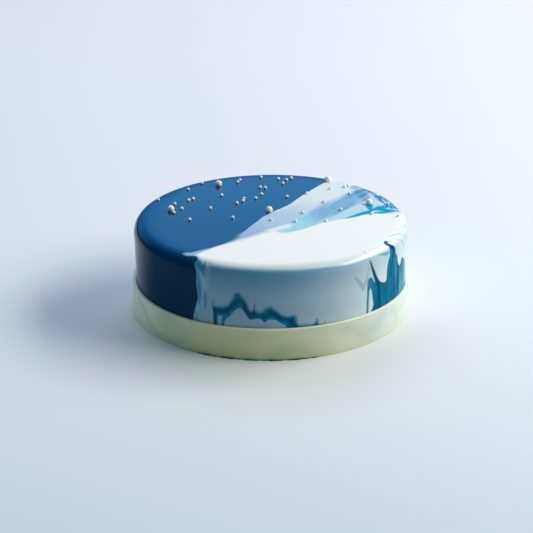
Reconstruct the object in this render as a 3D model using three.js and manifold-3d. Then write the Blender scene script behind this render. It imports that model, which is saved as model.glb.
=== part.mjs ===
// Entremet cake: a round mousse cake under mirror glaze, with sugar pearls on top
// and a thin white chocolate band round its foot. Millimetres, +Z up.
// The origin is the centre of the band's foot, on the plane that the cake stands on.
import * as THREE from 'three';
import { mergeVertices } from 'three/addons/utils/BufferGeometryUtils.js';
import Module from 'manifold-3d';

const wasm = await Module();
wasm.setup();

// Driving dimensions
const cakeRadius = 90;
const cakeHeight = 61.8;
const shoulderRadius = 8;
const footRadius = 88.6;
const bandHeight = 21;
const bandThickness = 1.5;
const bandEdgeRadius = 0.5;
const bandClearance = 0.35;
const cakeOffset = 0.5;
const smallPearlRadius = 1.15;
const bigPearlRadius = 2.3;
const pearlSink = 0.25;

// Fineness of the facets
const turnSegments = 96;
const shoulderSteps = 7;
const edgeSteps = 2;

// The flat top ends where the rounded shoulder starts
const flatRadius = cakeRadius - shoulderRadius;
const shoulderHeight = cakeHeight - shoulderRadius;

// Pearl places on the top, as x and y from the cake's axis
const bigPearls = [[-35.5, 61.5], [-66, 12.5], [-1, 9.5], [39.5, 69], [65.5, 23]];
const pearlsLeft = [
  [-75.5, 32.5], [-56, 52.5], [-47, 65], [-52, 34], [-55, 31], [-64, 24],
  [-59, 15], [-64, 7.5], [-53, -6], [-40, 15.5], [-33, 40.5],
];
const pearlsMiddle = [
  [-21, 71], [-22.5, 67], [-6.5, 76.5], [-7, 56], [-3.5, 55], [-6, 42],
  [-10, 34.5], [-18, 33.5], [-18.5, 29], [-22.5, 25], [-25, -2.5], [0, -7],
];
const pearlsBack = [
  [5.5, 73], [11, 71], [14.5, 74.5], [8.5, 63.5], [11, 37], [40.5, 53],
  [24.5, 43.5], [50.5, 56.5], [53, 58.5], [53.5, 42.5], [35.5, 26.5],
];
const pearlsRight = [
  [21, 6], [16, -10], [46.5, 11.5], [36, -9.5], [66.5, 3.5],
  [72, 38.5], [78, 22], [83.5, -0.5], [74, -45],
];
const smallPearls = [...pearlsLeft, ...pearlsMiddle, ...pearlsBack, ...pearlsRight];

// A profile of (radius, height) points turned round the Z axis
function turned(profile) {
  const points = profile.map(([radius, height]) => new THREE.Vector2(radius, height));
  return new THREE.LatheGeometry(points, turnSegments).rotateX(Math.PI / 2);
}

// Points of an arc round (radius, height), from one angle to another in degrees
function arc(centre, size, from, to, steps) {
  return Array.from({ length: steps + 1 }, (_, i) => {
    const angle = THREE.MathUtils.degToRad(from + (to - from) * i / steps);
    return [centre[0] + size * Math.cos(angle), centre[1] + size * Math.sin(angle)];
  });
}

function solidOf(geometry) {
  const bare = geometry.clone();
  bare.deleteAttribute('normal');
  bare.deleteAttribute('uv');
  const merged = mergeVertices(bare);
  const vertexOf = Array.from({ length: merged.attributes.position.count }, (_, i) => i);
  const triVerts = new Uint32Array(merged.index ? merged.index.array : vertexOf);
  const vertProperties = new Float32Array(merged.attributes.position.array);
  return new wasm.Manifold(new wasm.Mesh({ numProp: 3, vertProperties, triVerts }));
}

function geometryOf(solid) {
  const { vertProperties, triVerts } = solid.getMesh();
  const geometry = new THREE.BufferGeometry();
  geometry.setAttribute('position', new THREE.BufferAttribute(vertProperties, 3));
  geometry.setIndex(new THREE.BufferAttribute(triVerts, 1));
  geometry.computeVertexNormals();
  return geometry;
}

// The cake's outside radius at a height below the shoulder
function sideRadius(height) {
  return THREE.MathUtils.lerp(footRadius, cakeRadius, height / shoulderHeight);
}

// The mousse cake under its glaze: a tapered side, a rounded shoulder and a flat top
function cakeBody() {
  const shoulder = arc([flatRadius, shoulderHeight], shoulderRadius, 0, 90, shoulderSteps);
  return turned([[0, 0], [footRadius, 0], ...shoulder, [0, cakeHeight]]);
}

// Where a pearl's centre is: sunk a little into the flat top or the rounded shoulder
function pearlCentre([x, y], radius) {
  const fromAxis = Math.hypot(x, y);
  const lift = radius * (1 - pearlSink);
  if (fromAxis <= flatRadius) return new THREE.Vector3(x, y, cakeHeight + lift);
  const lean = Math.asin((fromAxis - flatRadius) / shoulderRadius);
  const out = flatRadius + (shoulderRadius + lift) * Math.sin(lean);
  const up = shoulderHeight + (shoulderRadius + lift) * Math.cos(lean);
  return new THREE.Vector3(x * out / fromAxis, y * out / fromAxis, up);
}

function pearl(place, radius, ball) {
  const centre = pearlCentre(place, radius);
  return solidOf(ball.clone().translate(centre.x, centre.y, centre.z));
}

function cake() {
  const smallBall = new THREE.OctahedronGeometry(smallPearlRadius, 1);
  const bigBall = new THREE.IcosahedronGeometry(bigPearlRadius, 1);
  let solid = solidOf(cakeBody());
  for (const place of bigPearls) solid = solid.add(pearl(place, bigPearlRadius, bigBall));
  for (const place of smallPearls) solid = solid.add(pearl(place, smallPearlRadius, smallBall));
  return geometryOf(solid);
}

// The chocolate band: a thin upright ring with softened edges, snug at one side of the cake
function band() {
  const inner = sideRadius(bandHeight) + bandClearance + cakeOffset;
  const outer = inner + bandThickness;
  const top = bandHeight - bandEdgeRadius;
  const outerEdge = arc([outer - bandEdgeRadius, top], bandEdgeRadius, 0, 90, edgeSteps);
  const innerEdge = arc([inner + bandEdgeRadius, top], bandEdgeRadius, 90, 180, edgeSteps);
  return turned([[inner, 0], [outer, 0], ...outerEdge, ...innerEdge, [inner, 0]]);
}

function named(name, geometry, material) {
  const mesh = new THREE.Mesh(geometry, material);
  mesh.name = name;
  return mesh;
}

const glaze = new THREE.MeshStandardMaterial({ color: 0x2f6fa2, roughness: 0.08, metalness: 0 });
const chocolate = new THREE.MeshStandardMaterial({ color: 0xdfe3c8, roughness: 0.4, metalness: 0 });

const entremet = new THREE.Group();
const glazedCake = named('cake', cake(), glaze);
glazedCake.position.x = cakeOffset;
entremet.add(glazedCake);
entremet.add(named('chocolate_band', band(), chocolate));

export default entremet;
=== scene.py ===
import math

import bmesh
import bpy
import numpy as np
from mathutils import Matrix, Vector


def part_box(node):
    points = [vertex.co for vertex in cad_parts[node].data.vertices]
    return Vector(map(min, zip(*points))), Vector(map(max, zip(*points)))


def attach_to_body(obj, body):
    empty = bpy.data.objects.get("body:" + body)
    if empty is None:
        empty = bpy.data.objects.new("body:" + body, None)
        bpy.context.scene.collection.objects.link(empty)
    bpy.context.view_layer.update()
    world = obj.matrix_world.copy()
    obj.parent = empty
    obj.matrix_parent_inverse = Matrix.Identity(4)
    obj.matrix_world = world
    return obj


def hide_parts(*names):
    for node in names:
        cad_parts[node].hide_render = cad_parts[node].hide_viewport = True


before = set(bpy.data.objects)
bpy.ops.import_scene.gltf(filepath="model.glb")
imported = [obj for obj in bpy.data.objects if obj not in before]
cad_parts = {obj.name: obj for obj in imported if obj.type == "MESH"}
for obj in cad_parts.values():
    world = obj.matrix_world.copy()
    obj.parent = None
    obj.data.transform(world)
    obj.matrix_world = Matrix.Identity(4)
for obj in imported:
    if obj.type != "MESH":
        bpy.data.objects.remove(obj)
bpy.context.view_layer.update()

mm = 0.001
cakeLow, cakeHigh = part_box("cake")
bandLow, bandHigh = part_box("chocolate_band")
axisX = (cakeLow.x + cakeHigh.x) / 2  # the cake stands a little off the band's centre

# The cake's form, in metres, then the number of faces round it, over its shoulder and down its side
form = {
    "radius": (cakeHigh.x - cakeLow.x) / 2,
    "height": 61.8 * mm,
    "shoulder": 8 * mm,
    "footRadius": 88.6 * mm,
    "around": 640,
    "shoulderRows": 14,
    "sideRows": 60,
}
hair = 0.1 * mm  # heights closer than this count as the same
flatRadius = form["radius"] - form["shoulder"]
shoulderZ = form["height"] - form["shoulder"]


# A number in a shader, so that shader maths reads as plain expressions
class Amount:
    def __init__(self, graph, socket):
        self.graph = graph
        self.socket = socket

    def __add__(self, other):
        return self.graph.maths("ADD", self, other)

    def __sub__(self, other):
        return self.graph.maths("SUBTRACT", self, other)

    def __rsub__(self, other):
        return self.graph.maths("SUBTRACT", other, self)

    def __mul__(self, other):
        return self.graph.maths("MULTIPLY", self, other)

    def __truediv__(self, other):
        return self.graph.maths("DIVIDE", self, other)

    __radd__ = __add__
    __rmul__ = __mul__


# The node tree of one material, or of the world
class Graph:
    def __init__(self, owner):
        self.owner = owner
        owner.use_nodes = True
        self.tree = owner.node_tree
        self.tree.nodes.clear()
        self.place = self.node("ShaderNodeTexCoord", out="Object")

    def node(self, kind, settings=None, sockets=None, out=0):
        made = self.tree.nodes.new(kind)
        for name, value in (settings or {}).items():
            setattr(made, name, value)
        for name, value in (sockets or {}).items():
            if isinstance(value, Amount):
                self.tree.links.new(value.socket, made.inputs[name])
            elif isinstance(value, bpy.types.NodeSocket):
                self.tree.links.new(value, made.inputs[name])
            else:
                made.inputs[name].default_value = value
        return Amount(self, made.outputs[out]) if made.outputs else made

    def maths(self, operation, first, second=0.0):
        return self.node("ShaderNodeMath", {"operation": operation}, {0: first, 1: second})

    def smooth(self, value, low, high):
        settings = {"interpolation_type": "SMOOTHSTEP"}
        return self.node("ShaderNodeMapRange", settings, {"Value": value, "From Min": low, "From Max": high})

    def mix(self, share, first, second):
        sockets = {0: share, 6: first, 7: second}
        return self.node("ShaderNodeMix", {"data_type": "RGBA"}, sockets, out=2)

    def attribute(self, name):
        return self.node("ShaderNodeAttribute", {"attribute_name": name}, out="Fac")

    def axis(self, letter, source=None):
        # One coordinate of the place, or of another vector
        return self.node("ShaderNodeSeparateXYZ", {}, {0: source or self.place}, out=letter)

    def moved(self, turn=(0, 0, 0), stretch=(1, 1, 1), source=None):
        sockets = {"Vector": source or self.place, "Rotation": turn, "Scale": stretch}
        return self.node("ShaderNodeMapping", {}, sockets)

    def noise(self, where, scale, detail=3.0, rough=0.5, warp=0.0, out="Fac"):
        sockets = {"Vector": where, "Scale": scale, "Detail": detail, "Roughness": rough, "Distortion": warp}
        return self.node("ShaderNodeTexNoise", {}, sockets, out=out)

    def surface(self, **sockets):
        named = {name.replace("_", " "): value for name, value in sockets.items()}
        shader = self.node("ShaderNodeBsdfPrincipled", {}, named)
        self.node("ShaderNodeOutputMaterial", {}, {"Surface": shader})
        return self.owner


def colour(red, green, blue):
    # From the 0 to 255 values of a screen colour to a shader colour
    def linear(value):
        share = value / 255
        return share / 12.92 if share <= 0.04045 else ((share + 0.055) / 1.055) ** 2.4

    return (linear(red), linear(green), linear(blue), 1.0)


def deselect():
    for item in bpy.context.selected_objects:
        item.select_set(False)


def started(name):
    # Names the active object, such as the primitive just added
    piece = bpy.context.active_object
    piece.name = name
    piece.data.name = name
    return piece


def editing(piece):
    # Opens the piece alone in edit mode, with nothing in it selected
    deselect()
    bpy.context.view_layer.objects.active = piece
    piece.select_set(True)
    bpy.ops.object.mode_set(mode="EDIT")
    bpy.ops.mesh.select_all(action="DESELECT")


def pick(piece, kind, test):
    # Selects the vertices, edges or faces that pass the test, and nothing else
    mesh = bmesh.from_edit_mesh(piece.data)
    bpy.ops.mesh.select_all(action="DESELECT")
    bpy.context.tool_settings.mesh_select_mode = tuple(kind == k for k in ("verts", "edges", "faces"))
    for item in getattr(mesh, kind):
        item.select = test(item)
    mesh.select_flush_mode()
    bmesh.update_edit_mesh(piece.data)


def settled(piece):
    # Leaves edit mode and puts the piece's place into its mesh, so that the object sits at the origin
    bpy.ops.object.mode_set(mode="OBJECT")
    piece.data.transform(piece.matrix_basis)
    piece.matrix_basis = Matrix.Identity(4)
    piece.data.update()


def positions(piece):
    flat = np.empty(len(piece.data.vertices) * 3)
    piece.data.vertices.foreach_get("co", flat)
    return flat.reshape(-1, 3)


def shine(piece, material, slot, *nodes):
    # Gives the piece its material and its body, and hides the nodes that it stands for
    piece.data.materials.clear()
    piece.data.materials.append(material)
    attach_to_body(piece, "root")
    if nodes:
        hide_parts(*nodes)


# The camera, with its distance from the aim in metres and its angles in degrees
shot = {
    "lens": 135.0,
    "distance": 1.325,
    "pitch": 21.9,
    "roll": -0.3,
    "aim": Vector((axisX - 3.0 * mm, 0.0, 26.6 * mm)),
    "seesTo": 50.0,
}


def makeCamera():
    data = bpy.data.cameras.new("camera")
    data.lens = shot["lens"]
    camera = bpy.data.objects.new("camera", data)
    bpy.context.scene.collection.objects.link(camera)
    pitch = math.radians(shot["pitch"])
    back = Vector((0, -math.cos(pitch), math.sin(pitch)))
    look = (-back).to_track_quat("-Z", "Y").to_matrix()
    turn = look @ Matrix.Rotation(math.radians(shot["roll"]), 3, "Z")
    camera.matrix_world = Matrix.Translation(shot["aim"] + back * shot["distance"]) @ turn.to_4x4()
    data.clip_end = shot["seesTo"]
    bpy.context.scene.camera = camera


makeCamera()
print("camera placed")


# The cake's skin: a cylinder with a rounded shoulder, a tapered side and an even grid of faces on top
def makeCake():
    deselect()
    bpy.ops.mesh.primitive_cylinder_add(
        vertices=form["around"], radius=form["radius"], depth=form["height"],
        end_fill_type="NGON", location=(axisX, 0, form["height"] / 2))
    cake = started("glazed_cake")
    settled(cake)
    editing(cake)
    # The top's rim is rounded into the shoulder
    top = form["height"] - hair
    pick(cake, "edges", lambda e: all(v.co.z > top for v in e.verts))
    bpy.ops.mesh.bevel(offset=form["shoulder"], segments=form["shoulderRows"], profile=0.5, affect="EDGES")
    # The one big face on top gives way to a grid
    pick(cake, "faces", lambda f: len(f.verts) > 4 and f.normal.z > 0.5)
    bpy.ops.mesh.delete(type="ONLY_FACE")
    pick(cake, "edges", lambda e: e.is_boundary)
    bpy.ops.mesh.fill_grid(span=form["around"] // 4)
    # The foot is drawn in, and the wall gets its rows
    pick(cake, "verts", lambda v: v.co.z < hair)
    shrink = form["footRadius"] / form["radius"]
    bpy.ops.transform.resize(value=(shrink, shrink, 1), center_override=(axisX, 0, 0))
    half = shoulderZ * 0.6
    pick(cake, "edges", lambda e: abs(e.verts[0].co.z - e.verts[1].co.z) > half)
    bpy.ops.mesh.subdivide(number_cuts=form["sideRows"] - 1)
    bpy.ops.mesh.select_all(action="SELECT")
    bpy.ops.mesh.normals_make_consistent(inside=False)
    settled(cake)
    cake.data.shade_smooth()
    print("cake skin:", len(cake.data.vertices), "vertices")
    return cake


cake = makeCake()


# Where each point of the skin lies: its angle in degrees, and in millimetres its drop along the skin
# from the flat top's rim, below zero on the flat top
def unrolled(points):
    x = (points[:, 0] - axisX) / mm
    y = points[:, 1] / mm
    z = points[:, 2] / mm
    flat, bend, knee = flatRadius / mm, form["shoulder"] / mm, shoulderZ / mm
    away = np.hypot(x, y)
    lean = np.arctan2(np.maximum(away - flat, 0), np.maximum(z - knee, 1e-6))
    drop = np.where(z < knee, bend * math.pi / 2 + knee - z, bend * lean)
    drop = np.where(away < flat, away - flat, drop)
    return np.degrees(np.arctan2(y, x)), drop


skin = positions(cake)
angle, drop = unrolled(skin)
spread = flatRadius / mm + drop
sheetPoints = np.stack([spread * np.cos(np.radians(angle)), spread * np.sin(np.radians(angle))], 1)
wallPoints = np.stack([np.radians(angle) * form["radius"] / mm, drop], 1)


def side(turn, down):
    # A place on the wall as a point of the sheet that the skin unrolls to
    out = flatRadius / mm + down
    return out * math.cos(math.radians(turn)), out * math.sin(math.radians(turn))


def wall(turn, down):
    # A place on the wall as a point of the wall cut open and laid flat
    return math.radians(turn) * form["radius"] / mm, down


def rounded(points, closed=True, steps=4):
    # A smooth line through the points
    p = np.array(points, float)
    n = len(p)
    made = []
    for i in range(n if closed else n - 1):
        if closed:
            a, b, c, d = p[i - 1], p[i], p[(i + 1) % n], p[(i + 2) % n]
        else:
            a, b, c, d = p[max(i - 1, 0)], p[i], p[i + 1], p[min(i + 2, n - 1)]
        for t in np.arange(steps) / steps:
            made.append(0.5 * (2 * b + (c - a) * t + (2 * a - 5 * b + 4 * c - d) * t**2
                               + (3 * b - a - 3 * c + d) * t**3))
    if not closed:
        made.append(p[-1])
    return np.array(made)


def inside(points, outline):
    # How far each point is inside the closed outline, in millimetres, and below zero outside it
    near = np.full(len(points), 1e9)
    crossings = np.zeros(len(points), int)
    for a, b in zip(outline, np.roll(outline, -1, 0)):
        along = b - a
        length = max(float(along @ along), 1e-9)
        t = np.clip(((points - a) @ along) / length, 0, 1)
        near = np.minimum(near, np.linalg.norm(points - a - t[:, None] * along, axis=1))
        if a[1] != b[1]:
            level = (points[:, 1] >= min(a[1], b[1])) & (points[:, 1] < max(a[1], b[1]))
            cut = a[0] + (points[:, 1] - a[1]) * along[0] / along[1]
            crossings += level & (points[:, 0] < cut)
    return np.where(crossings % 2 == 1, near, -near)


def stroke(points, line):
    # The same for a brush line of (x, y, half width) points
    deep = np.full(len(points), -1e9)
    for a, b in zip(line[:-1], line[1:]):
        along = b[:2] - a[:2]
        length = max(float(along @ along), 1e-9)
        t = np.clip(((points - a[:2]) @ along) / length, 0, 1)
        gap = np.linalg.norm(points - a[:2] - t[:, None] * along, axis=1)
        deep = np.maximum(deep, a[2] + (b[2] - a[2]) * t - gap)
    return deep


def strokes(points, lines):
    # The same for several brush lines together
    return np.max([stroke(points, line) for line in lines], 0)


# Outlines and brush lines: by angle and drop on the wall and over the rim, by x and y on the top
def wallOutline(*places):
    return rounded([wall(*p) for p in places])


def wallStroke(*places):
    return rounded([(*wall(t, d), w) for t, d, w in places], closed=False)


def topStroke(*places):
    return rounded(places, closed=False)


def rimStroke(*places):
    return rounded([(*side(t, d), w) for t, d, w in places], closed=False)


def attach(piece, name, values):
    layer = piece.data.attributes.new(name, "FLOAT", "POINT")
    layer.data.foreach_set("value", values.astype(np.float32))


outside = 200.0  # past the foot, so that an outline closes beyond the skin

# The deep blue glaze, from the back rim over the top to the front left, then down the wall and round the back
blueEdge = [
    (38, 68), (33, 60), (28, 52), (24, 45), (18, 34), (13, 24), (8, 17), (2, 10), (-3, 3),
    (-6, -2), (-9, -9), (-13, -17), (-17, -26), (-20, -32), (-22, -39), (-27, -46), (-36, -54),
    (-45, -60), (-51, -64), side(-129.5, 0), side(-131, 3), side(-128, 3.4), side(-124.3, 1.6),
    side(-122.3, 4), side(-122.8, 7.5), side(-121.3, 11.5), side(-121.3, 16), side(-121.4, 21),
    side(-121, 27), side(-121, 31), side(-122, 36), side(-123, 41), side(-123.4, 46),
    side(-123.6, 60), side(-123.8, 100),
]
blueBack = [
    side(65.5, 100), side(65, 60), side(64, 46), side(62, 34), side(63, 24), side(60.5, 14), side(61.5, 6),
]
blueRound = [side(t, outside) for t in (-124, -150, 180, 150, 120, 90, 66)]

# The white glaze, over the front and right; it runs on under the blue
whiteEdge = [
    (86, 6), (82, 4.5), (78, 3.5), (72, 4.5), (66, 4.5), (61, 2.5), (56, -1), (51, -3.5), (45, -6),
    (39, -8.8), (33, -12.4), (28, -17), (24, -20.6), (20, -23.7), (14, -27.6), (9, -29.6), (5, -27.4),
    (1.5, -25.6), (-4, -28.7), (-9, -33), (-16, -39), (-21, -43), (-34, -53), (-60, -78),
]
whiteRound = [side(t, outside) for t in (-135, -110, -80, -50, -25, 0)]
whiteBack = [side(1, 100), side(2, 60), side(3, 46), side(5, 34), side(2, 24), side(4, 14), side(3.5, 8)]

# The medium blue stream on the top
streamEdge = [
    (64, 53), (59, 51), (53, 45), (47, 38), (41.5, 31), (36, 24.5), (31.5, 17), (27, 9), (22, -1), (16, -10),
    (11.5, -18.5), (7, -28), (9, -31), (15, -27), (22, -21), (27, -14), (33, -6), (40, 2), (48, 10), (55, 18),
    (60, 25), (64, 32), (67, 40), (68, 48),
]

attach(cake, "drop", drop)
attach(cake, "blue", inside(sheetPoints, rounded(blueEdge + blueRound + blueBack)))
attach(cake, "white", inside(sheetPoints, rounded(whiteEdge + whiteRound + whiteBack)))
attach(cake, "stream", inside(sheetPoints, rounded(streamEdge)))
# Where the blue fades into the white instead of ending in a crisp edge
fadeLine = topStroke((-20.5, -33, 1), (-23, -38, 3), (-25, -42, 1))
attach(cake, "fade", stroke(sheetPoints, fadeLine))
# Where the white melts into the pale stream
meltLine = topStroke((-26, -47, 1), (-13, -37, 3), (0, -26.5, 3), (7, -28.5, 1))
attach(cake, "melt", stroke(sheetPoints, meltLine))

# Teal glaze on the front wall: a ragged coast above the band, crisp below and feathered above
coast = {
    "under": [
        (-114.6, 33), (-114.3, 38), (-113.9, 52), (-112.3, 52), (-112.2, 41.5), (-111.6, 39.3),
        (-110.3, 39.1), (-110.5, 44), (-110.8, 52), (-109.7, 52), (-109.3, 43.6), (-108, 40.2),
        (-106.6, 38), (-105.5, 35.8), (-104.3, 33.6), (-103.1, 32.3), (-102, 32.8), (-101.1, 34.7),
        (-100, 37.2), (-99.2, 39.4), (-98, 39.9), (-96.9, 39.4), (-95.4, 39.1), (-94, 39.7),
        (-93.1, 41.1), (-92.6, 41.9), (-92.1, 40.8), (-91.3, 39.7), (-90, 39.4), (-88.3, 39.9),
        (-87.1, 41.1), (-85.8, 42.7), (-84.6, 43.8), (-83.8, 46), (-83, 52), (-67, 52),
    ],
    "over": [
        (-67.5, 46), (-68.3, 45.2), (-70.3, 44.4), (-71, 42.7), (-71.6, 41), (-72.3, 42.7),
        (-73.3, 43.8), (-75, 44.1), (-76.7, 43.6), (-78.8, 43.4), (-79.4, 41.9), (-79.7, 38.6),
        (-80.4, 36.9), (-81.7, 37), (-83.3, 37.2), (-85, 36.2), (-86.7, 34.7), (-87.9, 33),
        (-89.1, 31.4), (-90, 30.4), (-91.5, 30.6), (-92.7, 31.9), (-93.8, 33.5), (-95.8, 33.8),
        (-98.1, 33.4), (-99, 31.9), (-99.5, 29.1), (-100.4, 26.3), (-101.6, 24.1), (-102.5, 22.4),
        (-104.1, 22.2), (-105.2, 23.6), (-105.9, 26.3), (-106.8, 29.7), (-108.2, 31.6), (-110, 32.4),
        (-111.8, 32.7), (-113.6, 32.5), (-114.3, 31.5),
    ],
}
farUp = [(-60, -20), (-120, -20)]
farDown = [(-120, 80), (-60, 80)]
attach(cake, "coastUnder", inside(wallPoints, wallOutline(*coast["under"], *farUp)))
attach(cake, "coastOver", inside(wallPoints, wallOutline(*coast["over"], *farDown)))
print("coast drawn")

# Teal glaze at the front right: an arch, a long streak and a column that widens downwards
pillar = wallOutline(
    (-46.4, 9), (-45.8, 10.6), (-44.9, 14.2), (-43.7, 17.6), (-42.4, 21.9), (-40.5, 25.8), (-39, 28),
    (-37.2, 29.2), (-35.6, 29.6), (-35, 28), (-35, 23.6), (-34.7, 19.1), (-34, 15.8), (-33.2, 13),
    (-32.8, 10.4), (-32.4, 8.8), (-32.3, 7.3), (-33.3, 5.8), (-33.4, 4.2), (-32.4, 2.8), (-31, 2.8),
    (-30.2, 4.2), (-30.5, 5.8), (-29.8, 7.2), (-28.6, 8.8), (-28.1, 10.8), (-28, 13), (-27.2, 15.2),
    (-26, 17), (-25.4, 20.4), (-24.6, 23),
    (-23.3, 24.9), (-22.1, 25.2), (-21.2, 23.4), (-20.3, 21.3), (-18.3, 22.4), (-16, 24.7),
    (-14, 27.6), (-13, 31), (-12.4, 36), (-11.8, 42), (-10, 52), (-43.3, 52), (-43.6, 42),
    (-44.2, 36.5), (-45, 31), (-45.7, 29.2), (-46.3, 31), (-46.4, 38), (-46.5, 52), (-47.5, 52),
    (-47.6, 34), (-47.6, 24.4), (-47, 22), (-46, 21.6), (-44.9, 22.4), (-43.9, 24.8), (-43.3, 26.3),
    (-43.4, 24.6), (-44.6, 20.2), (-45.8, 14.7), (-46.5, 10.8))
attach(cake, "pillar", inside(wallPoints, pillar))

# Dark lines inside the teal, and one that rises from the coast into the white
darkLines = [
    wallStroke((-46.2, 10.5, 0.5), (-45.2, 15, 0.8), (-43.6, 20, 1.1), (-42, 25, 1.2), (-40.6, 31, 1.2),
               (-39.8, 38, 1.4), (-39.2, 52, 1.7)),
    wallStroke((-31.9, 4.6, 0.4), (-31.4, 5.8, 0.8), (-31.0, 7.2, 0.5), (-30.1, 9.2, 1.5), (-29.8, 11.4, 1.6),
               (-30.6, 15, 0.8), (-31.6, 22, 0.6), (-32.4, 30, 0.2)),
    wallStroke((-29, 34, 0.2), (-28, 40, 0.7), (-27.6, 52, 0.9)),
    wallStroke((-113.2, 36, 0.8), (-113.1, 52, 1.1)),
    wallStroke((-97.2, 36, 1.0), (-96.9, 32, 0.5), (-96.5, 27.5, 0.25)),
]
attach(cake, "dark", strokes(wallPoints, darkLines))

# Darker pools along the coast
darkPools = [
    wallStroke((-113.4, 35.4, 1.0), (-111, 36, 1.5), (-108.5, 35.6, 1.6), (-106.6, 32.8, 1.4),
               (-105, 29.4, 1.4), (-103.3, 27.8, 1.5), (-101.8, 29, 1.6), (-100.4, 32.6, 1.6),
               (-98.9, 36.4, 1.5), (-96, 36.8, 1.2), (-93, 37.4, 1.4)),
    wallStroke((-91.6, 36.4, 1.0), (-90.2, 34.8, 1.4), (-88, 37, 1.3), (-85.5, 39.4, 1.4), (-83, 40.2, 1.4),
               (-81, 43, 1.2), (-79, 48, 0.9)),
]
attach(cake, "darkPools", strokes(wallPoints, darkPools))

# Pale folds inside the teal at the right
paleFolds = [
    wallStroke((-27.6, 18, 0.2), (-26.8, 25, 0.6), (-26.4, 33, 0.5), (-26.2, 42, 0.2)),
    wallStroke((-22.2, 27, 0.4), (-21.4, 34, 1.0), (-20.6, 42, 1.1), (-20, 52, 1.2)),
    wallStroke((-16.6, 27, 0.6), (-15.2, 33, 1.6), (-14.2, 41, 1.8), (-13.6, 52, 2.0)),
]
attach(cake, "folds", strokes(wallPoints, paleFolds))

# A bright blue smear low on the shoulder at the front right
smear = wallStroke((-40.2, 8.9, 0.3), (-37.8, 9.8, 0.7), (-35.5, 10.6, 0.9), (-33.2, 10.4, 0.8))
attach(cake, "smear", stroke(wallPoints, smear))

# Faint grey-teal marks: a V, thin arcs and short dabs near the right rim, and a hairline at the front
faintMarks = [
    wallStroke((-54.4, 18, 0.5), (-52.3, 21.8, 1.0), (-50.9, 25, 1.4), (-49.8, 28.4, 0.8)),
    wallStroke((-49.8, 28.4, 0.8), (-49.1, 25, 1.2), (-48.2, 22, 0.8), (-47.4, 17.5, 0.5), (-46.9, 11, 0.3)),
    wallStroke((-27, 1.5, 0.3), (-22, 3.5, 0.5), (-17, 7, 0.6), (-14, 12, 0.4)),
    wallStroke((-25, 6, 0.3), (-21, 9, 0.5), (-18, 14, 0.5), (-16.5, 20, 0.3)),
    wallStroke((-17.4, 2.1, 0.3), (-15.2, 2.3, 0.4)),
    wallStroke((-9.2, 6.6, 0.5), (-6.2, 7.4, 0.9), (-4, 8.4, 0.4)),
    wallStroke((-46.8, 2, 0.2), (-46.6, 4.4, 0.5), (-46.2, 5.4, 0.2)),
    wallStroke((-96.4, 27, 0.12), (-96.1, 18, 0.1), (-96, 9.4, 0.3)),
]
attach(cake, "faint", strokes(wallPoints, faintMarks))

# The streaky edge between the navy and the white on the front wall
veil = wallOutline(
    (-126, 0), (-123, 2), (-119.5, 4), (-116.6, 4.6), (-115.7, 7), (-115.9, 13), (-116, 18), (-117, 23.6),
    (-118, 28), (-118.6, 34), (-119.2, 40), (-120, 52), (-128, 52), (-128, 20))
attach(cake, "veil", inside(wallPoints, veil))
veilBlue = [
    wallStroke((-125, 4.4, 0.8), (-122, 5.6, 2.0), (-119.5, 8, 2.6), (-118.2, 11, 1.6), (-117.5, 14, 0.4)),
    wallStroke((-120.6, 12, 0.8), (-120.4, 17, 1.2), (-120.2, 22, 1.5), (-120, 27, 1.2), (-120.4, 33, 0.4)),
    wallStroke((-117.8, 24, 0.3), (-117.7, 29, 0.7), (-117.9, 35, 0.3)),
    wallStroke((-122.8, 37, 0.3), (-122, 42, 0.8), (-121.6, 50, 0.6)),
]
attach(cake, "veilBlue", strokes(wallPoints, veilBlue))

# White lobes that hang down the shoulder into the veil
lobes = [
    wallStroke((-121.5, 1.5, 1.2), (-119.8, 3.4, 1.2), (-119.2, 5.2, 0.8)),
    wallStroke((-117.6, 1.5, 1.6), (-117, 4.4, 1.2), (-116.8, 6.4, 0.7)),
]
attach(cake, "lobes", strokes(wallPoints, lobes))

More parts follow.
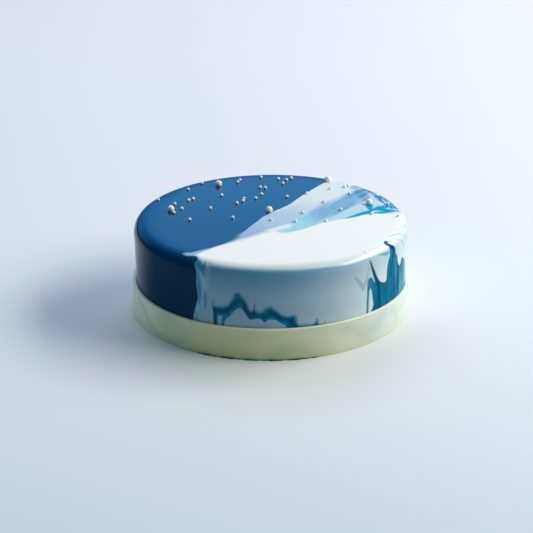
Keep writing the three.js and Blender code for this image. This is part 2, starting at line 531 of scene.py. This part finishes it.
# Brush marks, each group in one tone: where the streams meet on the top, and runs down the wall behind
washes = {
    "foot": [
        topStroke((-2, -25, 1.0), (4, -22.5, 2.4), (9, -19, 2.6), (12, -15, 1.0)),
    ],
    "iceBand": [
        topStroke((20, -27, 0.5), (30, -17, 1.5), (38, -9, 3.4), (47, -1, 4.6), (56, 9, 4.6), (62, 19, 2.8)),
        topStroke((68, 16, 1.0), (70, 22, 2.6), (70.5, 30, 2.4), (69, 38, 1.2)),
        topStroke((79, 6.5, 0.5), (83, 6.2, 1.3), (87, 7, 1.0)),
        topStroke((73.5, 21, 0.4), (77, 27, 0.9), (78.5, 32, 0.5)),
    ],
    "paleRim": [
        topStroke((1, 8.5, 0.3), (7, 14, 0.9), (13.5, 23, 1.2), (20.5, 35, 1.4), (27, 46, 1.4),
                  (33, 57, 1.1)),
    ],
    "brushBlue": [
        topStroke((38, -3, 0.4), (43, 6, 1.8), (48, 14, 2.2), (52, 21, 1.8), (56, 29, 0.6)),
    ],
    "deepPool": [
        topStroke((59, 50, 1.2), (61, 44, 3.8), (63, 37, 3.6), (62, 31, 1.4)),
        topStroke((68, 46, 0.8), (71, 41, 1.5), (72.5, 34, 1.3), (75, 27, 1.4), (78, 20, 1.6), (80, 15, 1.2)),
    ],
    "rimPool": [
        rimStroke((40, 0, 1.0), (34, 0.8, 2.2), (27, 1.2, 2.6), (19, 1.2, 2.8), (13, 1.4, 2.6),
                  (7, 1.8, 1.2)),
    ],
    "paleThread": [
        topStroke((56, 26, 0.2), (61, 32, 0.6), (65, 39, 0.6), (67.5, 46, 0.3)),
        topStroke((64, 29, 0.2), (67.5, 35, 0.5), (70, 42, 0.3)),
        topStroke((57, 40, 0.2), (62, 45, 0.4), (66, 50, 0.2)),
    ],
    "marbling": [
        topStroke((48, -4.6, 0.3), (54, -0.6, 1.6), (59, 3.2, 2.6), (63.5, 7, 2.8), (66.5, 10.5, 1.6)),
        topStroke((65.6, 22.5, 2.4), (65.8, 17.5, 2.2), (66, 12.5, 1.6), (66, 9, 1.0)),
        topStroke((66.5, 5.4, 0.6), (71, 6.6, 1.9), (77, 8.2, 2.1), (82, 10.2, 1.6), (86, 11.4, 0.8)),
        topStroke((69, 11, 1.0), (71, 14.5, 2.2), (75, 18, 2.2), (77, 22, 1.0)),
        topStroke((67, 12, 1.2), (70, 13, 2.4), (74, 12.4, 2.8), (78, 11, 1.8), (81, 11, 0.6)),
    ],
    "flecks": [
        topStroke((72, 38, 0.5), (73.5, 33, 1.0), (75.7, 25.4, 1.2), (77.6, 18.4, 1.2), (76, 15, 0.6)),
        topStroke((76.4, 30.4, 0.2), (77.8, 26.6, 1.0), (79.4, 22.6, 0.5)),
        topStroke((68.5, 13.5, 0.3), (70.5, 16.5, 1.0), (72.5, 20, 0.4)),
    ],
    "whiteFlecks": [
        topStroke((74.6, 33.4, 0.2), (76.4, 27.4, 0.7), (77.6, 23.2, 0.7), (79, 19.4, 0.3)),
        topStroke((73.6, 26, 0.2), (75, 22.6, 0.8), (76, 19.5, 0.3)),
        topStroke((81, 17.5, 0.3), (82.4, 13.5, 0.7), (83, 10.5, 0.2)),
    ],
    "backRuns": [
        rimStroke((44, -2, 3), (45, 6, 4), (46, 16, 4.5), (44, 28, 3.5), (45, 40, 4), (46, 64, 6)),
        rimStroke((31, 2, 2.5), (29.6, 10, 3), (30.6, 20, 2.2), (30, 30, 1.6), (30.2, 38, 0.4)),
        rimStroke((19, 2, 1.5), (19.4, 12, 2), (18.6, 20, 1), (18.8, 27, 0.3)),
    ],
    "backTeal": [
        rimStroke((11.4, 1.5, 1.6), (11, 8, 1.6), (12.6, 17, 2.6), (14.2, 28, 1.7), (13.4, 38, 2.2),
                  (14, 64, 4)),
        rimStroke((38.6, 9, 0.4), (39.6, 17, 1.3), (41, 26, 1.5), (40.4, 34, 0.9), (40.8, 40, 0.2)),
        rimStroke((53, 2, 0.6), (54.4, 13, 1.8), (52.6, 26, 2.6), (50.4, 38, 2.2), (49.6, 64, 4)),
        rimStroke((6.4, 6, 0.3), (6.8, 14, 0.9), (7.6, 24, 0.5)),
    ],
}
for name, marks in washes.items():
    attach(cake, name, strokes(sheetPoints, marks))
print("glaze flow drawn")


# The glaze: the run of its streaks, its noises in cells for each metre, and its gloss
glaze = {
    "streamTurn": -53.0,  # how the streams lie on the top, in degrees
    "streamStretch": 0.22,
    "wallStretch": 0.12,
    "poolStretch": 0.5,
    "streaks": 130.0,
    "broad": 48.0,
    "runs": 260.0,
    "fine": 420.0,
    "clouds": 38.0,
    "pools": 150.0,
    "leastGloss": 0.12,
    "roughness": 0.04,
    "coatRoughness": 0.03,
    "refraction": 1.42,
}

# Its tones, over the whole skin
skinTones = {
    "blue": colour(0, 48, 92),
    # the blue lighter at the back: painted reflection
    "farBlue": colour(14, 66, 110),
    "navy": colour(0, 54, 88),
    # the blue over the shoulder: painted reflection
    "rimBlue": colour(0, 72, 124),
    "white": colour(243, 240, 233),
    # the white over the shoulder: painted shade, and painted light at the front left
    "shoulder": colour(226, 239, 242),
    "leftShoulder": colour(240, 250, 252),
    # the wall's white: lighter at the right, painted light, and thin over the blue and painted shade at the
    # front left
    "wallWhite": colour(206, 222, 226),
    "thinShadedWhite": colour(94, 152, 188),
    "periwinkle": colour(155, 180, 202),
    "lilac": colour(178, 197, 213),
    "ice": colour(220, 226, 224),
    "deepBlue": colour(76, 140, 182),
    "midBlue": colour(131, 175, 202),
    "brushed": colour(98, 146, 188),
    "brushBlue": colour(84, 162, 204),
    "rimTeal": colour(52, 138, 176),
    "cyan": colour(158, 212, 222),
    "iceBlue": colour(180, 214, 222),
    "teal": colour(0, 138, 178),
    "deepTeal": colour(0, 102, 140),
    "darkTeal": colour(0, 58, 92),
    "brightTeal": colour(6, 158, 190),
    "veil": colour(146, 190, 212),
    "veilBlue": colour(40, 140, 186),
    "pillarTeal": colour(0, 114, 150),
    "pillarDeep": colour(0, 90, 122),
    "fold": colour(112, 168, 190),
    "legTeal": colour(70, 152, 186),
    "smear": colour(40, 156, 198),
    "faint": colour(100, 156, 176),
}


def makeGlaze():
    g = Graph(bpy.data.materials.new("mirror_glaze"))
    # Streaks lie along the streams on the top, and down the wall
    turned = g.moved(turn=(0, 0, math.radians(glaze["streamTurn"])))
    along = g.moved(stretch=(glaze["streamStretch"], 1, 1), source=turned)
    streaks = g.noise(along, glaze["streaks"], 4.0, 0.6, 0.5)
    broad = g.noise(along, glaze["broad"], 2.0, 0.5, 0.4)
    down = g.moved(stretch=(1, 1, glaze["wallStretch"]))
    runs = g.noise(down, glaze["runs"], 4.0, 0.6, 0.3)
    fine = g.noise(g.place, glaze["fine"], 3.0, 0.55)
    clouds = g.noise(g.place, glaze["clouds"], 3.0, 0.5, 0.3)
    ragged = (fine - 0.5) * 0.9
    across = g.axis("X")
    farther = g.axis("Y")
    drop = g.attribute("drop")
    # The wall's tones start lower down at the right, and more gradually at the left, following where the
    # light falls off: painted shade
    pastEdge = drop - g.maths("MAXIMUM", across / mm, -12.0) * 0.028 - 6.35
    edgeSoft = g.smooth(across / mm, 55.0, -15.0) * 1.5 + 0.6
    onWall = g.smooth(pastEdge, 0 - edgeSoft, edgeSoft)
    deepWall = g.smooth(drop, 1.0, 8.5)
    reach = (across * 0.6 + farther * 0.8) / mm  # along the streams, from the front left to the back right

    # The streams on the top: a pale ground, then a blue stream with a cyan foot
    ground = g.mix(
        g.smooth(reach + (streaks - 0.5) * 18, -38.0, 2.0), skinTones["periwinkle"], skinTones["lilac"])
    ground = g.mix(g.smooth(reach + (broad - 0.5) * 26, 2.0, 54.0), ground, skinTones["ice"])
    blueTone = g.mix(
        g.smooth(reach + (streaks - 0.5) * 16, 0.0, 26.0), skinTones["cyan"], skinTones["midBlue"])
    brush = g.smooth(streaks, 0.5, 0.66) * g.smooth(reach, 8.0, 30.0)
    blueTone = g.mix(brush * 0.6, blueTone, skinTones["brushed"])
    blueTone = g.mix(g.smooth(streaks, 0.46, 0.34) * 0.35, blueTone, skinTones["iceBlue"])
    stream = g.smooth(g.attribute("stream") + (broad - 0.5) * 5 + (streaks - 0.5) * 5, -3.5, 3.5)
    base = g.mix(stream, ground, blueTone)

    # Lays one group of brush marks over the base, with its edge broken up by the grain
    def wash(base, name, tone, share, low, high, wander=2.0, grain=streaks):
        spread = g.smooth(g.attribute(name) + (grain - 0.5) * wander, low, high)
        return g.mix(spread * share, base, tone)

    base = wash(base, "paleRim", skinTones["ice"], 0.75, -1.4, 1.0)
    base = wash(base, "foot", skinTones["white"], 0.85, -3.0, 2.4, 3.0)
    base = wash(base, "iceBand", skinTones["iceBlue"], 0.9, -2.0, 1.6)
    base = wash(base, "brushBlue", skinTones["brushBlue"], 0.55, -1.6, 1.4, 3.0)
    base = wash(base, "deepPool", skinTones["deepBlue"], 0.8, -1.4, 1.4, 3.0)
    base = wash(base, "rimPool", skinTones["rimTeal"], 0.9, -1.4, 1.4, 5.0)
    base = wash(base, "paleThread", skinTones["ice"], 0.5, -0.8, 0.5)
    base = wash(base, "marbling", skinTones["brightTeal"], 1.0, -0.9, 0.9, 1.6)
    base = wash(base, "flecks", skinTones["teal"], 0.85, -0.8, 0.6, 2.4)
    base = wash(base, "whiteFlecks", skinTones["ice"], 0.8, -0.6, 0.5, 1.2)
    base = wash(base, "backRuns", skinTones["midBlue"], 0.85, -2.0, 1.6, 6.0, runs)
    base = wash(base, "backTeal", skinTones["teal"], 0.9, -0.8, 0.6, 3.0, runs)

    # The white over them; on the wall it thins out and the blue under it shows through, most of all low on
    # the shoulder at the front left, where its tone is also painted shade
    # Painted light and shade on the wall's white: lighter towards the right, where the side lamp falls
    thickerAndLit = g.smooth(across / mm, -6.0, 98.0) + (clouds - 0.5) * 0.14
    # Painted shade: darker just under the shoulder, lighter lower down the wall
    lower = g.smooth(drop, 9.4, 28.4) * 0.3 + g.smooth(drop, 34.0, 46.0) * 0.12
    coverAndLight = g.maths("MINIMUM", thickerAndLit * 0.86 + lower, 1.0)
    wallTone = g.mix(coverAndLight, skinTones["thinShadedWhite"], skinTones["wallWhite"])
    # Over the shoulder the white is painted cooler and greyer, as painted shade, and lighter at the front
    # left, as painted light
    shoulder = g.mix(g.smooth(across / mm, -30.0, 10.0), skinTones["leftShoulder"], skinTones["shoulder"])
    whiteTone = g.mix(g.smooth(drop, 0.5, 5.0), skinTones["white"], shoulder)
    whiteTone = g.mix(onWall, whiteTone, wallTone)
    melt = g.smooth(g.attribute("melt"), -6.0, 1.0) * 3.0 + 0.5
    white = g.smooth(g.attribute("white") + ragged, 0 - melt, melt)
    base = g.mix(white, base, whiteTone)

    # The streaky veil and the blue
    veil = g.smooth(g.attribute("veil") + (runs - 0.5) * 2.5, -2.2, 1.4)
    veilTone = g.mix(g.smooth(runs, 0.5, 0.7) * 0.4, skinTones["veil"], skinTones["veilBlue"])
    base = g.mix(veil * 0.85, base, veilTone)
    veilBlue = g.smooth(g.attribute("veilBlue") + (runs - 0.5) * 4.0, -1.8, 1.6)
    base = g.mix(veilBlue * 0.9, base, skinTones["veilBlue"])
    lobes = g.smooth(g.attribute("lobes") + ragged, -1.2, 1.0)
    base = g.mix(lobes * 0.7, base, skinTones["white"])
    soft = g.smooth(g.attribute("fade"), -7.0, 2.0) * 2.6 + 0.45
    blue = g.smooth(g.attribute("blue") + ragged * 0.5, 0 - soft, soft)
    # The blue is painted lighter towards the back: a painted reflection of the bright backdrop
    towards = g.smooth((across * 0.5 + farther) / mm, -80.0, 120.0)
    blueSkin = g.mix(towards, skinTones["blue"], skinTones["farBlue"])
    blueSkin = g.mix(deepWall, blueSkin, skinTones["navy"])
    # Over the rounded shoulder its colour is painted lighter: a painted reflection that fades away down the
    # shoulder
    rimSheen = g.smooth(drop, -8.0, 2.5) * g.smooth(drop, 9.6, 2.4)
    blueSkin = g.mix(rimSheen, blueSkin, skinTones["rimBlue"])
    base = g.mix(blue, base, blueSkin)

    # Teal on the wall, between the coast's two edges and in the pillar, with its dark lines, pools and folds
    pool = g.noise(g.moved(stretch=(1, 1, glaze["poolStretch"])), glaze["pools"], 3.0, 0.55, 0.6)
    tealTone = g.mix(g.smooth(pool, 0.36, 0.64), skinTones["deepTeal"], skinTones["teal"])
    under = g.smooth(g.attribute("coastUnder") + ragged * 0.5, -0.35, 0.35)
    over = g.smooth(g.attribute("coastOver") + (runs - 0.5) * 3, -1.4, 2.2)
    base = g.mix(under * over, base, tealTone)
    pillar = g.smooth(g.attribute("pillar") + ragged * 0.5, -0.4, 0.4)
    pillarTone = g.mix(g.smooth(pool, 0.3, 0.6), skinTones["pillarDeep"], skinTones["pillarTeal"])
    thinning = g.smooth(farther / mm + (runs - 0.5) * 8, -38.0, -20.0)
    pillarTone = g.mix(thinning * 0.8, pillarTone, skinTones["fold"])
    pillarTone = g.mix(g.smooth(farther / mm, -61.0, -65.0) * 0.5, pillarTone, skinTones["legTeal"])
    base = g.mix(pillar, base, pillarTone)
    dark = g.smooth(g.attribute("dark"), -0.5, 0.5)
    base = g.mix(dark * 0.8, base, skinTones["darkTeal"])
    darkPools = g.smooth(g.attribute("darkPools") + (runs - 0.5) * 2, -1.6, 1.2) * under * over
    base = g.mix(darkPools * 0.7, base, skinTones["darkTeal"])
    folds = g.smooth(g.attribute("folds") + (runs - 0.5) * 1.5, -0.9, 0.9)
    base = g.mix(folds * 0.7, base, skinTones["fold"])
    smear = g.smooth(g.attribute("smear") + ragged, -0.9, 0.8)
    base = g.mix(smear * 0.9, base, skinTones["smear"])
    faint = g.smooth(g.attribute("faint"), -0.8, 0.7)
    base = g.mix(faint * 0.55, base, skinTones["faint"])

    # The glaze shines most where it pooled on the blue top, and some along the shoulder and at the far left
    flatGloss = blue * g.smooth(drop, 7.0, -9.0) * (towards * 0.2 + 0.8)
    rimGloss = g.smooth(drop, 9.6, 8.0) * g.smooth(drop, 2.0, 5.0) * (1 - blue) * (1 - pillar)
    leftGloss = g.smooth(across / mm, -72.0, -91.0) * deepWall
    gloss = g.maths("MINIMUM", flatGloss + rimGloss * 0.5 + leftGloss * 0.7 + glaze["leastGloss"], 1.0)
    return g.surface(
        Base_Color=base, Roughness=glaze["roughness"], IOR=glaze["refraction"], Specular_IOR_Level=0.0,
        Coat_Weight=gloss, Coat_Roughness=glaze["coatRoughness"])


shine(cake, makeGlaze(), "mirror_glaze", "cake")
print("cake glazed")


# The sugar pearls: their radii, the share of a radius that they sink in, and how uneven they are
pearls = {
    "small": 1.1 * mm,
    "big": 2.3 * mm,
    "sink": 0.38,
    "uneven": 0.03,
    "seed": 5,
    "ivory": colour(248, 248, 243),
    "white": colour(254, 254, 252),
}

# Where they lie: x and y from the cake's axis, in millimetres
bigPlaces = [(-35.5, 61.5), (-66, 12.5), (-1, 9.5), (39.5, 69), (65.5, 23)]
smallPlaces = [
    (-75.5, 32.5), (-56, 52.5), (-47, 65), (-52, 34), (-55, 31), (-64, 24), (-59, 15), (-64, 7.5),
    (-53, -6), (-40, 15.5), (-33, 40.5), (-21, 71), (-22.5, 67), (-6.5, 76.5), (-7, 56), (-3.5, 55),
    (-6, 42), (-10, 34.5), (-18, 33.5), (-18.5, 29), (-22.5, 25), (-25, -2.5), (0, -7), (5.5, 73),
    (11, 71), (14.5, 74.5), (8.5, 63.5), (11, 37), (40.5, 53), (24.5, 43.5), (50.5, 56.5), (53, 58.5),
    (53.5, 42.5), (35.5, 26.5), (21, 6), (16, -10), (46.5, 11.5), (36, -9.5), (66.5, 3.5), (72, 38.5),
    (78, 22), (83.5, -0.5), (74, -45),
]


def pearlCentre(x, y, radius):
    away = math.hypot(x, y) * mm
    lift = radius * (1 - pearls["sink"])
    lean = math.asin(max(0.0, away - flatRadius) / form["shoulder"])
    out = away if lean == 0 else flatRadius + (form["shoulder"] + lift) * math.sin(lean)
    up = shoulderZ + (form["shoulder"] + lift) * math.cos(lean)
    turn = math.atan2(y, x)
    return Vector((axisX + out * math.cos(turn), out * math.sin(turn), up))


def makePearls():
    draw = np.random.default_rng(pearls["seed"])
    balls = []
    for places, size, fineness in ((bigPlaces, "big", 4), (smallPlaces, "small", 3)):
        radius = pearls[size]
        for x, y in places:
            deselect()
            bpy.ops.mesh.primitive_ico_sphere_add(subdivisions=fineness, radius=radius)
            ball = started(f"pearl_{len(balls)}")
            uneven = draw.uniform(1 - pearls["uneven"], 1 + pearls["uneven"], 3)
            spin = Matrix.Rotation(draw.uniform(0, 2 * math.pi), 4, draw.normal(size=3))
            ball.data.transform(spin @ Matrix.Diagonal((*uneven, 1.0)))
            ball.data.transform(Matrix.Translation(pearlCentre(x, y, radius)))
            ball.data.shade_smooth()
            balls.append(ball)
    deselect()
    for ball in balls:
        ball.select_set(True)
    bpy.context.view_layer.objects.active = balls[0]
    bpy.ops.object.join()
    joined = started("sugar_pearls")
    print("pearls:", len(joined.data.polygons), "faces")
    return joined


def makePearlCoat():
    g = Graph(bpy.data.materials.new("pearl_coat"))
    clouds = g.noise(g.place, 700.0, 2.0, 0.5)
    tone = g.mix(g.smooth(clouds, 0.35, 0.7), pearls["ivory"], pearls["white"])
    return g.surface(
        Base_Color=tone, Roughness=0.3, IOR=1.5, Coat_Weight=0.8, Coat_IOR=1.7, Coat_Roughness=0.2,
        Sheen_Weight=1.0, Sheen_Roughness=0.5,
        Subsurface_Weight=0.4, Subsurface_Radius=(1.0, 1.0, 1.0), Subsurface_Scale=0.0008)


sugarPearls = makePearls()
shine(sugarPearls, makePearlCoat(), "sugar_pearl", "cake")


# The white chocolate band round the foot
band = {
    "outer": (bandHigh.x - bandLow.x) / 2,
    "height": bandHigh.z - bandLow.z,
    "thickness": 1.5 * mm,
    "edge": 0.45 * mm,
    "around": 256,
    "rows": 12,
    "wave": 0.12 * mm,
    "blueFrom": -121.5,  # the blue glaze is behind the band past these angles, in degrees
    "blueTo": 62.0,
    "blueSoft": 0.9,
    "hug": 0.27 * mm,  # its inner face follows the cake, which stands a little off the band's centre
    "hugLeft": 0.98 * mm,
    "sideWaves": ((0.6, 3, 0.6), (0.4, 7, 2.0)),  # share, number round the cake, start in radians
    "topWave": (4, 1.0),
}


# Grey-green veins in the chocolate, each a line of (angle, height, half width) places
bandVeins = [
    [(-92, 0.6, 1.0), (-88.4, 2.6, 1.6), (-84.5, 5.0, 2.2), (-80.5, 6.2, 2.2), (-76.5, 5.0, 1.8),
     (-71, 2, 1.0)],
    [(-159, 18, 1.0), (-154, 14.5, 2.0), (-151, 9.5, 1.8), (-146.5, 5.5, 1.4), (-141, 3.6, 0.8)],
    [(-58, 14.5, 0.8), (-54, 12.8, 1.6), (-51, 9, 2.0), (-48.5, 6, 1.4), (-46, 3.4, 0.6)],
    [(-36.5, 18, 0.6), (-39, 14.5, 1.4), (-42.5, 11, 2.0), (-46, 8.4, 1.6), (-49.5, 6.6, 0.8)],
    [(-31, 16, 0.5), (-28.6, 11, 1.2), (-27.4, 5.6, 0.6)],
    [(-12, 15, 0.6), (-2, 11.4, 1.8), (9, 7.6, 2.2), (22, 5.6, 1.0)],
    [(38, 4, 0.8), (50, 8.6, 2.2), (62, 13, 1.8), (76, 15, 0.8)],
    [(104, 16, 0.8), (116, 12, 2.0), (127, 7, 2.2), (137, 3, 0.8)],
    [(152, 15, 0.6), (161, 11, 1.8), (171, 6, 1.2)],
]


def makeBand():
    deselect()
    bpy.ops.mesh.primitive_circle_add(vertices=band["around"], radius=band["outer"], location=(0, 0, 0))
    ring = started("white_chocolate_band")
    editing(ring)
    bpy.ops.mesh.select_all(action="SELECT")
    bpy.ops.mesh.extrude_region_move(TRANSFORM_OT_translate={"value": (0, 0, band["height"])})
    half = band["height"] / 2
    pick(ring, "edges", lambda e: abs(e.verts[0].co.z - e.verts[1].co.z) > half)
    bpy.ops.mesh.subdivide(number_cuts=band["rows"] - 1)
    bpy.ops.mesh.select_all(action="SELECT")
    bpy.ops.mesh.normals_make_consistent(inside=False)
    settled(ring)
    wall = ring.modifiers.new("wall", "SOLIDIFY")
    wall.thickness = band["thickness"]
    wall.offset = -1
    soft = ring.modifiers.new("soft", "BEVEL")
    soft.width = band["edge"]
    soft.segments = 3
    soft.limit_method = "ANGLE"
    soft.angle_limit = math.radians(50)
    for name in ("wall", "soft"):
        bpy.ops.object.modifier_apply(modifier=name)
    points = positions(ring)
    turn = np.arctan2(points[:, 1], points[:, 0])
    lift = points[:, 2] / band["height"]
    swell = band["wave"] * sum(s * np.sin(n * turn + a) for s, n, a in band["sideWaves"]) * lift
    away = np.hypot(points[:, 0], points[:, 1])
    count, first = band["topWave"]
    points[:, 2] += band["wave"] * np.sin(count * turn + first) * lift - band["wave"] * lift
    inner = away < band["outer"] - band["thickness"] / 2
    hug = band["hug"] + band["hugLeft"] * (1 - np.cos(turn)) / 2
    points[:, :2] *= ((away + np.where(inner, -hug, swell)) / away)[:, None]
    ring.data.vertices.foreach_set("co", points.ravel())
    ring.data.shade_smooth()
    low, high = band["blueFrom"], band["blueTo"]
    turn = np.degrees(turn)
    edge = np.minimum(np.abs(turn - low), np.abs(turn - high))
    behindBlue = (turn < low) | (turn > high)
    plane = np.stack([np.radians(turn) * band["outer"] / mm, points[:, 2] / mm], 1)
    veins = [rounded([(math.radians(t) * band["outer"] / mm, z, w) for t, z, w in line], closed=False)
             for line in bandVeins]
    attach(ring, "veins", strokes(plane, veins))
    attach(ring, "behind", np.clip(np.where(behindBlue, edge, -edge) / band["blueSoft"] + 0.5, 0, 1))
    return ring


# The chocolate's tones, some of them painted light and shade
chocolate = {
    "warm": colour(216, 221, 176),
    "cool": colour(216, 225, 222),
    "overBlue": colour(206, 218, 194),
    "cream": colour(238, 238, 196),
    "greenish": colour(164, 200, 180),
    "leftEnd": colour(243, 248, 222),
    "vein": colour(158, 188, 166),
    "foot": colour(196, 204, 160),
    "topEdge": colour(248, 247, 232),
}


def makeChocolate():
    g = Graph(bpy.data.materials.new("white_chocolate"))
    clouds = g.noise(g.place, 30.0, 3.0, 0.5, 0.5)
    patches = g.noise(g.moved(stretch=(1, 1, 1.3)), 24.0, 3.0, 0.5, 0.6)
    across = g.axis("X")
    # Whiter and cooler towards the right, where the side lamp falls on the band: painted light
    paler = g.smooth(across / band["outer"] + (clouds - 0.5) * 0.5, 0.1, 0.9)
    base = g.mix(paler, chocolate["warm"], chocolate["cool"])
    # The chocolate is thin enough for the dark glaze behind it to show through
    behind = g.attribute("behind")
    base = g.mix(behind * 0.6, base, chocolate["overBlue"])
    base = g.mix(g.smooth(clouds, 0.5, 0.72) * 0.35, base, chocolate["cream"])
    base = g.mix(g.smooth(patches, 0.52, 0.68) * (behind * 0.2 + 0.2), base, chocolate["greenish"])
    # A paler left end: painted light
    leftEnd = g.smooth(across / band["outer"] + (clouds - 0.5) * 0.3, -0.72, -0.88)
    base = g.mix(leftEnd * 0.8, base, chocolate["leftEnd"])
    veins = g.smooth(g.attribute("veins") + (clouds - 0.5) * 9 + (patches - 0.5) * 8, -5.0, 3.4)
    base = g.mix(veins * (1 - paler * 0.5) * 0.5, base, chocolate["vein"])
    rise = g.axis("Z") / mm
    # Darker towards the foot: painted shade
    base = g.mix(g.smooth(rise, 9.0, 0.0) * 0.3, base, chocolate["foot"])
    # A lighter line along the top edge: painted highlight
    base = g.mix(g.smooth(rise, 19.9, 20.7) * 0.6, base, chocolate["topEdge"])
    relief = {"Strength": 0.15, "Distance": 0.2 * mm, "Height": patches}
    bump = g.node("ShaderNodeBump", {}, relief, out="Normal")
    return g.surface(Base_Color=base, Roughness=0.36, Normal=bump, IOR=1.45)


chocolateBand = makeBand()
shine(chocolateBand, makeChocolate(), "white_chocolate", "chocolate_band")
print("band made")


# A thin dark bead along the band's foot at the front, with angles in degrees: partly teal glaze that ran out
# under the band, partly painted shade where the band meets the floor
seepAndShadow = {
    "from": -123.0,
    "to": -70.0,
    "half": 0.6 * mm,
    "clear": 0.03 * mm,
    "around": 256,
    "sides": 12,
    "width": 0.55,  # its mean width as a share of half, then its waves: share, rate a degree, start
    "waves": ((0.25, 0.7, 1.0), (0.2, 1.9, 2.0)),
    "taper": 12.0,  # how steeply it thins out at its ends
    "thinnest": 0.05,
    "rise": 1.5,
    "deep": colour(0, 78, 74),
    "clearer": colour(0, 124, 116),
}


def makeSeepAndShadow():
    deselect()
    bpy.ops.mesh.primitive_torus_add(
        major_segments=seepAndShadow["around"], minor_segments=seepAndShadow["sides"],
        major_radius=band["outer"], minor_radius=seepAndShadow["half"])
    bead = started("glaze_seep_and_shadow")
    editing(bead)
    low, high = seepAndShadow["from"], seepAndShadow["to"]
    pick(bead, "verts", lambda v: not low < math.degrees(math.atan2(v.co.y, v.co.x)) < high)
    bpy.ops.mesh.delete(type="VERT")
    bpy.ops.mesh.select_all(action="SELECT")
    bpy.ops.mesh.fill_holes(sides=0)
    bpy.ops.mesh.normals_make_consistent(inside=False)
    settled(bead)
    points = positions(bead)
    turn = np.degrees(np.arctan2(points[:, 1], points[:, 0]))
    along = (turn - low) / (high - low)
    swell = sum((s * np.sin(n * turn + a) for s, n, a in seepAndShadow["waves"]), start=seepAndShadow["width"])
    width = swell * np.clip(np.minimum(along, 1 - along) * seepAndShadow["taper"], seepAndShadow["thinnest"], 1)
    away = np.hypot(points[:, 0], points[:, 1])
    across = (away - band["outer"]) * width
    settledAway = band["outer"] + seepAndShadow["clear"] + seepAndShadow["half"] * width + across
    points[:, :2] *= (settledAway / away)[:, None]
    points[:, 2] = np.maximum(points[:, 2] * width * seepAndShadow["rise"], 0.01 * mm)
    bead.data.vertices.foreach_set("co", points.ravel())
    bead.data.shade_smooth()
    return bead


def makeSeepAndShadowGlaze():
    g = Graph(bpy.data.materials.new("seep_and_shadow_glaze"))
    pools = g.noise(g.place, 90.0, 2.0, 0.5)
    tone = g.mix(g.smooth(pools, 0.42, 0.6), seepAndShadow["deep"], seepAndShadow["clearer"])
    return g.surface(Base_Color=tone, Roughness=0.1, IOR=1.42, Specular_IOR_Level=0.3)


shine(makeSeepAndShadow(), makeSeepAndShadowGlaze(), "mirror_glaze")
print("seep made")


# The floor and the lights
studio = {
    "floor": 6.0,
    "lampsFar": 2.2,
    # the floor is painted darker near the front: painted shade
    "nearFloor": (0.65, 0.66, 0.69, 1.0),
    "farFloor": (0.79, 0.78, 0.78, 1.0),
    "room": (0.02, 0.025, 0.03, 1.0),
    "sky": (0.40, 0.55, 0.75, 1.0),
    "glow": (0.19, 0.72, 1.40, 1.0),
    "paleFrom": -0.45,  # the floor turns paler from front to back between these places along Y
    "paleTo": -0.02,
}

# Each soft light: its turn round the cake, its rise, its width and height, its power and tint
lamps = {
    "side": {
        "turn": 7.0, "rise": 36.0, "wide": 2.4, "high": 0.75, "power": 58.4, "tint": (0.991, 1.0, 0.921),
    },
    "back": {
        "turn": 92.0, "rise": 45.0, "wide": 1.4, "high": 1.0, "power": 11.05, "tint": (0.983, 0.7, 1.0),
    },
    "left": {
        "turn": 175.0, "rise": 45.0, "wide": 3.0, "high": 3.0, "power": 12.4, "tint": (0.668, 1.0, 0.93),
    },
}


def makeFloor():
    deselect()
    bpy.ops.mesh.primitive_plane_add(size=studio["floor"], location=(0, 0, 0))
    floor = started("floor")
    settled(floor)
    g = Graph(bpy.data.materials.new("floor_paint"))
    away = g.axis("Y")
    # Painted shade: the floor darker at the front, paler at the back
    paler = g.smooth(away, studio["paleFrom"], studio["paleTo"])
    tone = g.mix(paler, studio["nearFloor"], studio["farFloor"])
    floor.data.materials.append(g.surface(Base_Color=tone, Roughness=0.85))


def makeLamp(name, spec):
    data = bpy.data.lights.new(name, "AREA")
    data.shape = "RECTANGLE"
    data.size = spec["wide"]
    data.size_y = spec["high"]
    data.energy = spec["power"]
    data.color = spec["tint"]
    lamp = bpy.data.objects.new(name, data)
    lamp.visible_glossy = name == "side"  # the glaze mirrors only the main light and the sky
    bpy.context.scene.collection.objects.link(lamp)
    turn, rise = math.radians(spec["turn"]), math.radians(spec["rise"])
    away = Vector((math.cos(turn) * math.cos(rise), math.sin(turn) * math.cos(rise), math.sin(rise)))
    facing = away.to_track_quat("Z", "Y").to_matrix().to_4x4()
    lamp.matrix_world = Matrix.Translation(away * studio["lampsFar"]) @ facing


def makeWorld():
    # A dim room with a soft bluish sky over and behind the cake, and a strong glow low down in it
    world = bpy.data.worlds.new("studio")
    g = Graph(world)
    direction = g.node("ShaderNodeTexCoord", out="Generated")
    aside = g.axis("X", direction)
    behind = g.axis("Y", direction)
    rise = g.axis("Z", direction)
    over = g.smooth(behind, -0.6, 0.8) * g.smooth(g.maths("ABSOLUTE", aside), 0.9, 0.3)
    sky = g.mix(over * g.smooth(rise, 0.0, 0.2), studio["room"], studio["sky"])
    glow = g.smooth(rise, 0.08, 0.24) * g.smooth(rise, 0.82, 0.40) * g.smooth(behind, 0.35, 0.8)
    light = g.node("ShaderNodeBackground", {}, {"Color": g.mix(glow, sky, studio["glow"])})
    g.node("ShaderNodeOutputWorld", {}, {"Surface": light})
    bpy.context.scene.world = world
    bpy.context.scene.view_settings.view_transform = "Standard"


makeFloor()
for name, spec in lamps.items():
    makeLamp(name, spec)
makeWorld()
print("studio lit")
